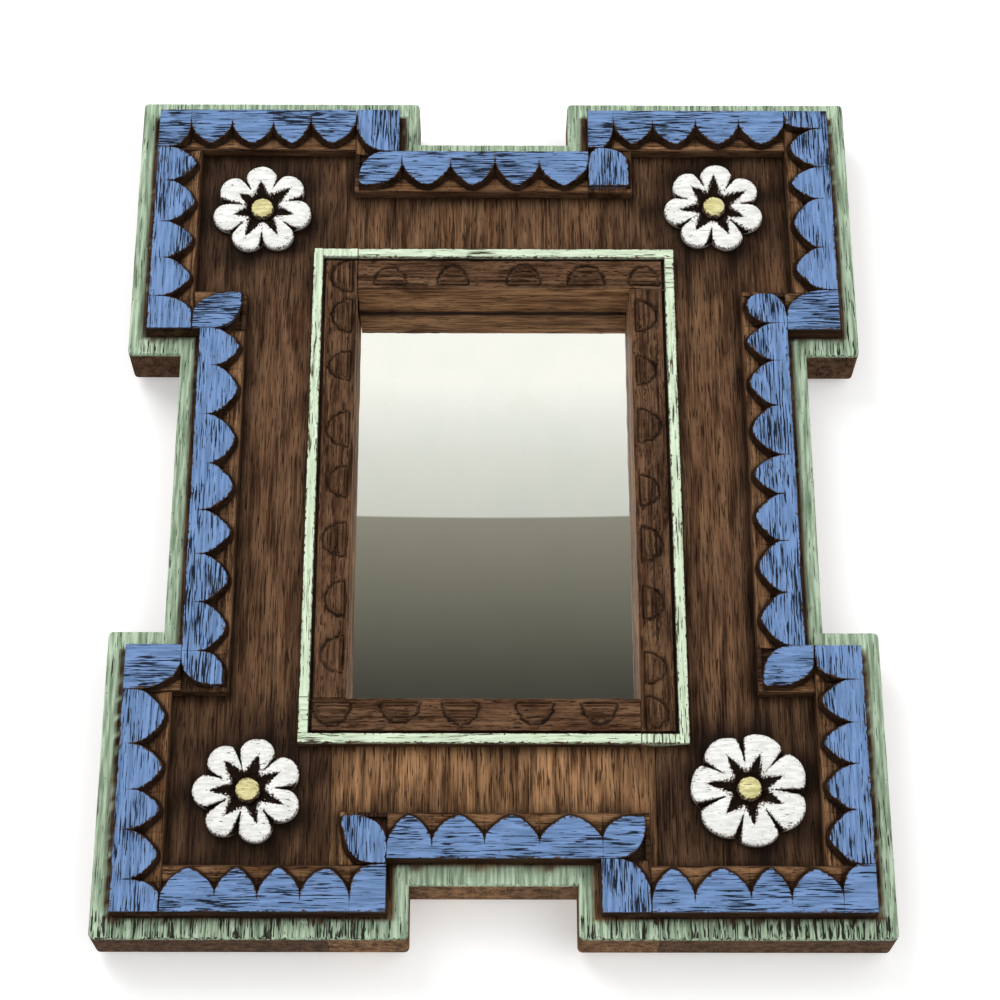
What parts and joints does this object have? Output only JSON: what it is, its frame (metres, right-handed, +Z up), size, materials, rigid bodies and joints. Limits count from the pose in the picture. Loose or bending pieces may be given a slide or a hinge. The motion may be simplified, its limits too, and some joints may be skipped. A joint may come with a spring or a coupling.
{
  "type": "wall mirror",
  "caption": "Upright folk wall mirror: a notched board panel with a blue scalloped carved border, white corner rosettes, a painted liner round a deep-set glass and a ring hanger.",
  "frame": {"origin": "in the back plane of the boards, on the centre line, at the height where a wall hook carries the inside top of the hanging ring", "axes": "+X to the viewer's right, +Y backwards into the wall, +Z up; the carved front faces -Y"},
  "size_m": [0.36, 0.0402, 0.438],
  "materials": {
    "stained_wood": "open-pored wood with a dark brown stain and a sage-green painted margin",
    "border_paint": "cornflower-blue paint rubbed thin along the grain and at the edges",
    "liner_wood": "brown stained wood with carved motifs and a mint-painted fillet",
    "rosette_paint": "white brushed paint on the petals and pale yellow on the button",
    "dowel_wood": "plain hardwood dowel",
    "backing_panel": "plain thin panel",
    "mirror_glass": "silvered sheet glass",
    "brad_steel": "dull wire steel",
    "hanger_steel": "zinc-plated steel strip and wire"
  },
  "bodies": {
    "frame": {"backing_board": "backing_panel", "backing_brads": "brad_steel", "board_dowels": "dowel_wood", "border_bottom_left_block_bottom": "border_paint", "border_bottom_left_block_side": "border_paint", "border_bottom_middle": "border_paint", "border_bottom_notch_left_return": "border_paint", "border_bottom_notch_right_return": "border_paint", "border_bottom_right_block_bottom": "border_paint", "border_bottom_right_block_side": "border_paint", "border_left_middle": "border_paint", "border_left_notch_lower_return": "border_paint", "border_left_notch_upper_return": "border_paint", "border_right_middle": "border_paint", "border_right_notch_lower_return": "border_paint", "border_right_notch_upper_return": "border_paint", "border_top_left_block_side": "border_paint", "border_top_left_block_top": "border_paint", "border_top_middle": "border_paint", "border_top_notch_left_return": "border_paint", "border_top_notch_right_return": "border_paint", "border_top_right_block_side": "border_paint", "border_top_right_block_top": "border_paint", "bottom_board": "stained_wood", "hanger_screws": "hanger_steel", "hanger_strap": "hanger_steel", "left_stile_board": "stained_wood", "liner_bottom": "liner_wood", "liner_left": "liner_wood", "liner_right": "liner_wood", "liner_top": "liner_wood", "mirror_glass": "mirror_glass", "right_stile_board": "stained_wood", "rosette_bottom_left": "rosette_paint", "rosette_bottom_right": "rosette_paint", "rosette_top_left": "rosette_paint", "rosette_top_right": "rosette_paint", "top_board": "stained_wood"},
    "ring": {"hanger_ring": "hanger_steel"}
  },
  "joints": [
    {"name": "ring_swing", "type": "hinge", "parent": "frame", "child": "ring", "pos_m": [0, 0.00236, -0.0137], "axis": [-1, 0, 0], "range_deg": [0, 170]}
  ]
}
